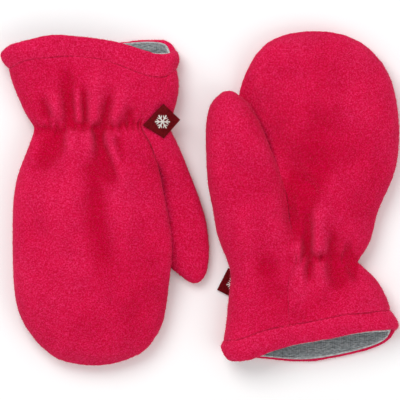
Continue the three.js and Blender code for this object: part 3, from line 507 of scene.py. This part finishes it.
def jersey_material(name, dark, light):
    material, tree, shader = new_material(name, **JERSEY_FINISH)
    heather = noise(tree, HEATHER["scale"], 2, HEATHER["stretch"])
    streaks = noise(tree, STREAKS["scale"], 2, STREAKS["stretch"])
    colour = two_tone(tree, heather, dark, light, HEATHER["range"])
    shade = two_tone(tree, streaks, STREAKS["shade"], WHITE)
    tree.links.new(blend(tree, 1.0, colour, shade, "MULTIPLY"), shader.inputs["Base Color"])
    place = tree.nodes.new("ShaderNodeTexCoord")
    ribs = tree.nodes.new("ShaderNodeTexWave")
    ribs.bands_direction = "X"
    ribs.inputs["Scale"].default_value = RIBS["scale"]
    ribs.inputs["Distortion"].default_value = RIBS["distortion"]
    tree.links.new(place.outputs["Object"], ribs.inputs["Vector"])
    coarse = bump(tree, shader, ribs.outputs["Fac"], RIBS["rise"], RIBS["strength"])
    bump(tree, shader, heather, HEATHER["rise"], HEATHER["strength"], coarse)
    return material


# Thread
THREAD_FINISH = {"Roughness": 0.8, "Specular IOR Level": 0.1}
THREAD_TONES = {"scale": 3000, "dark": (0.42, 0.002, 0.03), "light": (0.58, 0.006, 0.055)}


def thread_material():
    material, tree, shader = new_material("thread", **THREAD_FINISH)
    tones = noise(tree, THREAD_TONES["scale"], 1)
    colour = two_tone(tree, tones, THREAD_TONES["dark"], THREAD_TONES["light"])
    tree.links.new(colour, shader.inputs["Base Color"])
    return material


# Woven tab
TAB_FINISH = {"Roughness": 0.6, "Specular IOR Level": 0.08}
TAB_RED = {"scale": 1500, "dark": (0.10, 0.001, 0.003), "light": (0.19, 0.003, 0.007)}
TAB_WHITE = (0.80, 0.78, 0.72)
MOTIF = {"half_width": 0.31, "reach": 3.4, "branch": 1.5, "branch_reach": 1.1}  # in millimetres
MOTIF_TURN = 12.5  # sixths of a turn: two turns keep the angle above zero, and the half centres an arm
WEAVE = {"pitch": 16, "rise": 0.0001, "strength": 0.8}


def arithmetic(tree, operation, first, second=0.0):
    node = tree.nodes.new("ShaderNodeMath")
    node.operation = operation
    for socket, value in zip(node.inputs, (first, second)):
        if isinstance(value, bpy.types.NodeSocket):
            tree.links.new(value, socket)
        else:
            socket.default_value = value
    return node.outputs["Value"]


def snowflake(tree, across, along):
    """1 on a plain six-armed snowflake, 0 beside it. The places are in millimetres from its middle."""
    def combine(operation, first, second=0.0):
        return arithmetic(tree, operation, first, second)

    sixth = math.pi / 3
    turned = combine("ADD", combine("ARCTAN2", along, across), MOTIF_TURN * sixth)
    folded = combine("SUBTRACT", combine("MODULO", turned, sixth), sixth / 2)
    squares = combine("ADD", combine("MULTIPLY", across, across), combine("MULTIPLY", along, along))
    radius = combine("SQRT", squares)
    out = combine("MULTIPLY", radius, combine("COSINE", folded))
    aside = combine("ABSOLUTE", combine("MULTIPLY", radius, combine("SINE", folded)))
    on_arm = combine("LESS_THAN", aside, MOTIF["half_width"])
    arm = combine("MULTIPLY", on_arm, combine("LESS_THAN", out, MOTIF["reach"]))
    slant = combine("SUBTRACT", combine("SUBTRACT", out, MOTIF["branch"]), aside)
    on_branch = combine("LESS_THAN", combine("ABSOLUTE", slant), MOTIF["half_width"])
    branch = combine("MULTIPLY", on_branch, combine("LESS_THAN", aside, MOTIF["branch_reach"]))
    return combine("MAXIMUM", arm, branch)


def tab_material():
    material, tree, shader = new_material("woven_tab", **TAB_FINISH)
    place = tree.nodes.new("ShaderNodeUVMap")
    place.uv_map = "tab"
    split = tree.nodes.new("ShaderNodeSeparateXYZ")
    tree.links.new(place.outputs["UV"], split.inputs["Vector"])
    across = split.outputs["X"]
    along = split.outputs["Y"]
    motif = snowflake(tree, across, along)
    red = two_tone(tree, noise(tree, TAB_RED["scale"], 2), TAB_RED["dark"], TAB_RED["light"])
    tree.links.new(blend(tree, motif, red, TAB_WHITE), shader.inputs["Base Color"])
    warp = arithmetic(tree, "SINE", arithmetic(tree, "MULTIPLY", across, WEAVE["pitch"]))
    weft = arithmetic(tree, "SINE", arithmetic(tree, "MULTIPLY", along, WEAVE["pitch"]))
    bump(tree, shader, arithmetic(tree, "MULTIPLY", warp, weft), WEAVE["rise"], WEAVE["strength"])
    return material


# Floor
FLOOR_TONES = {"scale": 3, "dark": (0.93, 0.93, 0.935), "light": (0.95, 0.95, 0.95)}
FLOOR_ROUGHNESS = 0.9


def floor_material():
    material, tree, shader = new_material("floor", Roughness=FLOOR_ROUGHNESS)
    colour = two_tone(tree, noise(tree, FLOOR_TONES["scale"], 2), FLOOR_TONES["dark"], FLOOR_TONES["light"])
    tree.links.new(colour, shader.inputs["Base Color"])
    return material


# The materials
FLEECE = fleece_material()
FIBRES = fibre_material()
JERSEY = jersey_material("gray_jersey", JERSEY_DARK, JERSEY_LIGHT)
# paler jersey with a painted highlight, for the rolled edge
HIGHLIT_JERSEY = jersey_material("gray_jersey_painted_highlight", ROLL_HIGHLIGHT_DARK, ROLL_HIGHLIGHT_LIGHT)
WOVEN_TAB = tab_material()
RED_THREAD = thread_material()

# Panels, thumb, hem and lining
FINE = 3  # levels of subdivision
COARSE = 2
STEP_ACROSS = (-36, 4)  # where the palm steps over or under the thumb
STEP_ALONG = (74, 134)


def step_zone(hand):
    """A test for points in the zone where the palm steps over or under the thumb."""
    def within(point):
        across, along, _ = to_local(hand, np.array([point]))
        beside = STEP_ACROSS[0] < across[0] < STEP_ACROSS[1]
        return beside and STEP_ALONG[0] < along[0] < STEP_ALONG[1]
    return within


def fleece_panel(hand, piece, side, seed):
    name = f"{hand.name}_{piece}"
    zone = step_zone(hand) if piece == "palm" else None
    mesh = finer(cage_of(name, zone), name, FINE if side != "lower" else COARSE)
    paint_crease_shading(mesh, crease_skin(mesh, hand, side, seed))
    nap_skin(mesh, NAP_LUMPS, seed)
    return finish_piece(name + "_fleece", mesh, name, FLEECE)


def puff_hem(mesh, hand):
    """Rounds the hem between its stitching and its lip."""
    points = read_rows(mesh.vertices, "co")
    normals = read_rows(mesh.vertex_normals, "vector")
    across, along, _ = to_local(hand, points)
    share = np.clip((np.interp(across, *zip(*hand.hem)) - along) / HEM_BAND, 0, 1)
    points += normals * (HEM_PUFF * 4 * share * (1 - share) * MM)[:, None]
    points[:, 2] = np.maximum(points[:, 2], 0)
    write_points(mesh, points)


def hem_band(hand, seed):
    name = f"{hand.name}_hem"
    mesh = finer(cage_of(name), name, FINE)
    puff_hem(mesh, hand)
    # painted highlight over the whole hem, as on a low ridge, with painted shade in its hollows
    paint_crease_shading(mesh, HEM_PAINTED_HIGHLIGHT)
    nap_skin(mesh, [HEM_SWELL, *NAP_LUMPS], seed)
    return finish_piece(name + "_band", mesh, name, FLEECE)


def lining(hand, seed):
    name = f"{hand.name}_lining"
    mesh = finer(cage_of(name), name, COARSE)
    crease_skin(mesh, hand, "upper", seed)
    nap_skin(mesh, LINING_SWELLS, seed, fullness=0)
    return finish_piece(name + "_jersey", mesh, name, JERSEY)


# Round tubes
def tube_ring(point, ahead, level, radius, sides):
    """Places round the point, in metres, square to the way ahead."""
    aside = ahead.cross(level).normalized()
    above = aside.cross(ahead).normalized()
    angles = [2 * math.pi * side / sides for side in range(sides)]
    return [point + (aside * math.cos(angle) + above * math.sin(angle)) * radius for angle in angles]


def tube_faces(start, following, sides):
    """Faces between two rings, from the numbers of their first points."""
    faces = []
    for side in range(sides):
        beside = (side + 1) % sides
        faces.append((start + side, start + beside, following + beside, following + side))
    return faces


# The lining's rolled edge
ROLL = {"radius": 0.55, "sides": 8, "in_lower_lip": 0.5, "past_upper_lip": 1.85, "hidden": 0.8}
ROLL_SHOWS = (0.5, 2.5)  # how far the upper lip lies back where the roll starts to show, and shows in full
ROLL_RISES = (6, 12)  # heights between which it goes from the lower lip to the upper one
MOUTH_END = 25  # how far up the mitten the lining's mouth reaches, mm


def mouth_route(hand):
    """Places in order round the end face of the lining's mouth."""
    cage = cage_of(f"{hand.name}_lining")
    sharp = {edge for edge in cage.edges if edge.calc_face_angle(0) > SHARP_EDGE}
    ends = []
    for face in cage.faces:
        _, along, _ = to_local(hand, np.array([face.calc_center_median()]))
        if along[0] < MOUTH_END and sum(edge in sharp for edge in face.edges) == 2:
            ends.append(face)
    route = []
    face = ends[0]
    crossed = None
    while len(route) < len(ends):
        route.append(face.calc_center_median())
        crossed = next(edge for edge in face.edges if edge not in sharp and edge != crossed)
        face = next(other for other in crossed.link_faces if other != face)
    cage.free()
    return np.array(route)


def rounded_loop(points):
    """The loop with twice as many points, as a subdivided surface rounds its edges."""
    middles = (points + np.roll(points, -1, axis=0)) / 2
    corners = (np.roll(middles, 1, axis=0) + 2 * points + middles) / 4
    return np.stack([corners, middles], axis=1).reshape(-1, 3)


def roll_middle(hand):
    """The roll's middle line. It shows past the upper lip where that lies back from the lower one."""
    route = rounded_loop(rounded_loop(mouth_route(hand)))
    across, along, height = to_local(hand, route)
    low = height < FOLD_HEIGHT
    order = np.argsort(across[low])
    lower_lip = np.interp(across, across[low][order], along[low][order])
    shown = smooth_step(*ROLL_SHOWS, along - lower_lip)
    past_upper = ROLL["hidden"] + (ROLL["past_upper_lip"] - ROLL["hidden"]) * shown
    risen = smooth_step(*ROLL_RISES, height)
    out = ROLL["in_lower_lip"] + (past_upper - ROLL["in_lower_lip"]) * risen
    return [to_frame(hand, *place) for place in zip(across, along - out, height)]


def rolled_edge(hand):
    """The jersey rolls out over the lower lip's inner edge and shows past the upper lip, in a paler jersey
    that paints the highlight along the fold.
    """
    points = roll_middle(hand)
    sides = ROLL["sides"]
    vertices = []
    faces = []
    for number, point in enumerate(points):
        following = (number + 1) % len(points)
        ahead = (points[following] - points[number - 1]).normalized()
        vertices += tube_ring(point, ahead, Vector((0, 1, 0)), ROLL["radius"] * MM, sides)
        faces += tube_faces(number * sides, following * sides, sides)
    mesh = bpy.data.meshes.new(f"{hand.name}_rolled_edge")
    mesh.from_pydata([tuple(vertex) for vertex in vertices], [], faces)
    return finish_piece(f"{hand.name}_rolled_edge", mesh, None, HIGHLIT_JERSEY)


# The folded woven tab
def tab_place(hand, run_share, out_share):
    """A place on the tab in the mitten's own frame, from its shares along the seam and away from it."""
    corners = [Vector(corner) for corner in hand.label]
    clear = (corners[3] - corners[0]).normalized() * TAB["clear"]
    seam_edge = corners[0].lerp(corners[1], run_share)
    outer_edge = corners[3].lerp(corners[2], run_share)
    return seam_edge.lerp(outer_edge, out_share) + clear


def ribbon_section(hand):
    """The ribbon along its length: shares of the way out from the seam, and lifts over the lower ply."""
    steps = TAB["steps"]
    fold_steps = TAB["fold_steps"]
    room = TAB["room"] - TAB["ply"]
    fold = room / 2
    fold_share = fold / (tab_place(hand, 0.5, 1) - tab_place(hand, 0.5, 0)).length
    section = [(step / steps, room) for step in range(steps)]
    for step in range(fold_steps + 1):
        angle = math.pi / 2 - math.pi * step / fold_steps
        section.append((1 - fold_share + fold_share * math.cos(angle), fold + fold * math.sin(angle)))
    section += [(1 - step / steps, 0) for step in range(1, steps + 1)]
    return section


def tab_base(hand, solid, run_share, out_share):
    """Height of the solid's underside at a place on the tab, or just inside its rim, in millimetres."""
    within = [min(max(share, TAB["inset"]), 1 - TAB["inset"]) for share in (run_share, out_share)]
    spot = tab_place(hand, *within)
    hit = solid.ray_cast(to_frame(hand, spot.x, spot.y, UNDER_ALL), Vector((0, 0, 1)))[0]
    return hit.z / MM


def ribbon(hand, name):
    """The ribbon's middle layer. Its UVs are places in millimetres from the tab's middle."""
    solid = BVHTree.FromObject(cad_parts[name], bpy.context.evaluated_depsgraph_get())
    middle = tab_place(hand, 0.5, 0.5)
    steps = TAB["steps"]
    grid = bmesh.new()
    place = grid.loops.layers.uv.new("tab")
    rows = []
    for out_share, lift in ribbon_section(hand):
        row = []
        for run_share in [step / steps for step in range(steps + 1)]:
            spot = tab_place(hand, run_share, out_share)
            height = tab_base(hand, solid, run_share, out_share) + TAB["ply"] / 2 + lift
            vertex = grid.verts.new(to_frame(hand, spot.x, spot.y, height))
            row.append((vertex, spot - middle))
        rows.append(row)
    for first, second in zip(rows, rows[1:]):
        for column in range(steps):
            corners = [first[column], first[column + 1], second[column + 1], second[column]]
            face = grid.faces.new([corner[0] for corner in corners])
            for loop, corner in zip(face.loops, corners):
                loop[place].uv = corner[1]
    bmesh.ops.recalc_face_normals(grid, faces=grid.faces)
    mesh = bpy.data.meshes.new(name)
    grid.to_mesh(mesh)
    grid.free()
    return mesh


def thickened(mesh, name):
    """The layer with the thickness of a ply, half to each side."""
    holder = bpy.data.objects.new(name + "_ply", mesh)
    bpy.context.scene.collection.objects.link(holder)
    ply = holder.modifiers.new("ply", "SOLIDIFY")
    ply.thickness = TAB["ply"] * MM
    ply.offset = 0
    thick = bpy.data.meshes.new_from_object(holder.evaluated_get(bpy.context.evaluated_depsgraph_get()))
    bpy.data.objects.remove(holder)
    return thick


def tab(hand):
    """A ribbon folded in half: an upper ply, a round fold at the outer edge and a lower ply."""
    name = f"{hand.name}_label"
    return finish_piece(name + "_tab", thickened(ribbon(hand, name), name), name, WOVEN_TAB)


# Stitches along the hem
def tube(points, radius, sides):
    """Vertices and faces of a closed round tube through the points."""
    vertices = []
    for number, point in enumerate(points):
        ahead = points[min(number + 1, len(points) - 1)] - points[max(number - 1, 0)]
        vertices += tube_ring(point, ahead, Vector((0, 0, 1)), radius, sides)
    faces = []
    last = (len(points) - 1) * sides
    for start in range(0, last, sides):
        faces += tube_faces(start, start + sides, sides)
    faces.append(tuple(range(sides - 1, -1, -1)))
    faces.append(tuple(range(last, last + sides)))
    return vertices, faces


def groove_height(hand, trees, at):
    """Height of the thread at this place across the mitten, in millimetres, or None off the cloth."""
    line = np.interp(at, *zip(*hand.hem))
    spots = [to_frame(hand, at, line + aside, OVER_ALL) for aside in (-THREAD["beside"], THREAD["beside"])]
    hits = [tree.ray_cast(spot, Vector((0, 0, -1)))[0] for tree in trees for spot in spots]
    heights = [hit.z / MM for hit in hits if hit and hit.z / MM > FOLD_HEIGHT]
    return max(heights) - THREAD["sunk"] if heights else None


def stitch(hand, trees, at):
    """Points along one stitch, with both its ends dipping into the cloth. There are none off the cloth."""
    points = []
    for step, dip in enumerate(STITCH_DIPS):
        here = at + THREAD["stitch"] * step / (len(STITCH_DIPS) - 1)
        top = groove_height(hand, trees, here)
        if top is None:
            return []
        line = np.interp(here, *zip(*hand.hem))
        points.append(to_frame(hand, here, line, top - THREAD["radius"] * dip))
    climb = max(point.z for point in points) - min(point.z for point in points)
    return points if climb < STITCH_ROW["steepest"] * MM else []


def stitches(hand, panels):
    """A row of thread stitches sunk in the hem's groove, over the upper side of the cuff."""
    trees = [BVHTree.FromObject(panel, bpy.context.evaluated_depsgraph_get()) for panel in panels]
    vertices = []
    faces = []
    at = hand.hem[0][0] + STITCH_ROW["margin"]
    while at + THREAD["stitch"] < hand.hem[-1][0] - STITCH_ROW["margin"]:
        points = stitch(hand, trees, at)
        if points:
            added, rings = tube(points, THREAD["radius"] * MM, THREAD["sides"])
            faces += [tuple(len(vertices) + corner for corner in ring) for ring in rings]
            vertices += added
        at += THREAD["stitch"] + THREAD["gap"]
    mesh = bpy.data.meshes.new(f"{hand.name}_stitches")
    mesh.from_pydata([tuple(vertex) for vertex in vertices], [], faces)
    return finish_piece(f"{hand.name}_stitches", mesh, None, RED_THREAD)


# Loose fibres of the nap
def triangle_corners(pieces):
    """The corners of all triangles of the pieces, in metres."""
    corners = []
    for piece in pieces:
        mesh = piece.data
        mesh.calc_loop_triangles()
        points = read_rows(mesh.vertices, "co")
        ids = np.empty(len(mesh.loop_triangles) * 3, np.int32)
        mesh.loop_triangles.foreach_get("vertices", ids)
        corners.append(points[ids.reshape(-1, 3)])
    return np.concatenate(corners)


def loose_triangles(name, points):
    """A mesh of separate triangles, from rows that hold their corners in turn."""
    mesh = bpy.data.meshes.new(name)
    mesh.vertices.add(len(points))
    mesh.vertices.foreach_set("co", points.astype(np.float32).ravel())
    mesh.loops.add(len(points))
    mesh.loops.foreach_set("vertex_index", np.arange(len(points), dtype=np.int32))
    mesh.polygons.add(len(points) // 3)
    mesh.polygons.foreach_set("loop_start", np.arange(0, len(points), 3, dtype=np.int32))
    mesh.update(calc_edges=True)
    mesh.validate()
    return mesh


def fibre_weights(corners, normal, area):
    """Shares of the fibres on each triangle: by its area, none inside, and few near the floor."""
    height = corners[:, :, 2].mean(axis=1) / MM
    outer = np.where(height > FOLD_HEIGHT, normal[:, 2] > -OUTWARD, normal[:, 2] < OUTWARD)
    weight = area * outer * np.where(height < FIBRES_BELOW["height"], FIBRES_BELOW["share"], 1)
    return weight / weight.sum()


def fibre_nap(hand, pieces, seed):
    """Short fibres that stand out of the outer faces, each one a thin triangle."""
    chance = np.random.default_rng(seed)
    corners = triangle_corners(pieces)
    normal = np.cross(corners[:, 1] - corners[:, 0], corners[:, 2] - corners[:, 0])
    area = np.linalg.norm(normal, axis=1)
    normal /= np.maximum(area, TINY_AREA)[:, None]
    count = FIBRE["per_mitten"] // 1
    chosen = chance.choice(len(area), count, p=fibre_weights(corners, normal, area))
    shares = chance.dirichlet((1, 1, 1), count)
    root = (corners[chosen] * shares[:, :, None]).sum(axis=1)
    lean = chance.normal(size=(count, 3)) * FIBRE["lean"]
    heading = normal[chosen] * FIBRE["upright"] + lean
    heading /= np.linalg.norm(heading, axis=1)[:, None]
    length = FIBRE["length"] * chance.uniform(*FIBRE_SHARES, count) * MM
    tip = root + heading * length[:, None]
    tip[:, 2] = np.maximum(tip[:, 2], 0)
    aside = np.cross(heading, chance.normal(size=(count, 3)))
    aside *= (FIBRE["width"] * MM / 2 / np.linalg.norm(aside, axis=1))[:, None]
    points = np.stack([root - aside, root + aside, tip], axis=1).reshape(-1, 3)
    mesh = loose_triangles(f"{hand.name}_nap", points)
    return finish_piece(f"{hand.name}_nap", mesh, None, FIBRES)


def mitten(hand, seed):
    back = fleece_panel(hand, "back", "lower" if hand.palm_up else "upper", seed)
    palm = fleece_panel(hand, "palm", "upper" if hand.palm_up else "lower", seed + 1)
    thumb = fleece_panel(hand, "thumb", "both", seed + 2)
    hem = hem_band(hand, seed + 3)
    inside = lining(hand, seed + 4)
    folded_tab = tab(hand)
    thread = stitches(hand, [back, palm, thumb, hem])
    nap = fibre_nap(hand, [back, palm, thumb, hem], seed + 5)
    going_with = {"hem": [thread], "back": [nap], "lining": [rolled_edge(hand)]}


mitten(RIGHT_HAND, SEED)
mitten(LEFT_HAND, SEED + 20)

# Floor, light and camera: sizes in metres and powers in watts where nothing else is said
FLOOR_REACH = 3
KEY_LIGHT = {"position": (-0.4, 0.55, 1.0), "size": 0.8, "power": 7.3}
FILL_LIGHT = {"position": (0.8, -0.5, 0.9), "size": 0.9, "power": 3}
WORLD_LIGHT = {"colour": (1, 1, 1, 1), "strength": 0.65}
FARTHEST_SEEN = 20

floor_mesh = bpy.data.meshes.new("floor")
floor_corners = [(x * FLOOR_REACH, y * FLOOR_REACH, 0) for x, y in ((-1, -1), (1, -1), (1, 1), (-1, 1))]
floor_mesh.from_pydata(floor_corners, [], [(0, 1, 2, 3)])
floor_mesh.materials.append(floor_material())
floor = bpy.data.objects.new("floor", floor_mesh)
bpy.context.scene.collection.objects.link(floor)


def area_light(name, position, size, power):
    data = bpy.data.lights.new(name, "AREA")
    data.shape = "DISK"
    data.size = size
    data.energy = power
    light = bpy.data.objects.new(name, data)
    light.location = position
    light.rotation_euler = (-Vector(position)).to_track_quat("-Z", "Y").to_euler()
    bpy.context.scene.collection.objects.link(light)


area_light("key", **KEY_LIGHT)
area_light("fill", **FILL_LIGHT)
world = bpy.data.worlds.new("studio")
world.use_nodes = True
world.node_tree.nodes["Background"].inputs["Color"].default_value = WORLD_LIGHT["colour"]
world.node_tree.nodes["Background"].inputs["Strength"].default_value = WORLD_LIGHT["strength"]
bpy.context.scene.world = world
bpy.context.scene.view_settings.view_transform = "Standard"

PHOTO_MIDDLE = (-0.136, -0.787)  # where the photo's middle lies, mm
PHOTO_WIDTH = 184.0  # what its 400 pixels span at the mittens, mm
EYE_HEIGHT = 2000.0  # mm
LOOKED_AT = 10.0  # height of the cloth that the photo's scale is measured at, mm
SENSOR = 36.0  # mm

camera_data = bpy.data.cameras.new("camera")
camera_data.sensor_width = SENSOR
camera_data.lens = SENSOR * (EYE_HEIGHT - LOOKED_AT) / PHOTO_WIDTH
camera_data.clip_end = FARTHEST_SEEN
camera = bpy.data.objects.new("camera", camera_data)
camera.location = (PHOTO_MIDDLE[0] * MM, PHOTO_MIDDLE[1] * MM, EYE_HEIGHT * MM)
bpy.context.scene.collection.objects.link(camera)
bpy.context.scene.camera = camera
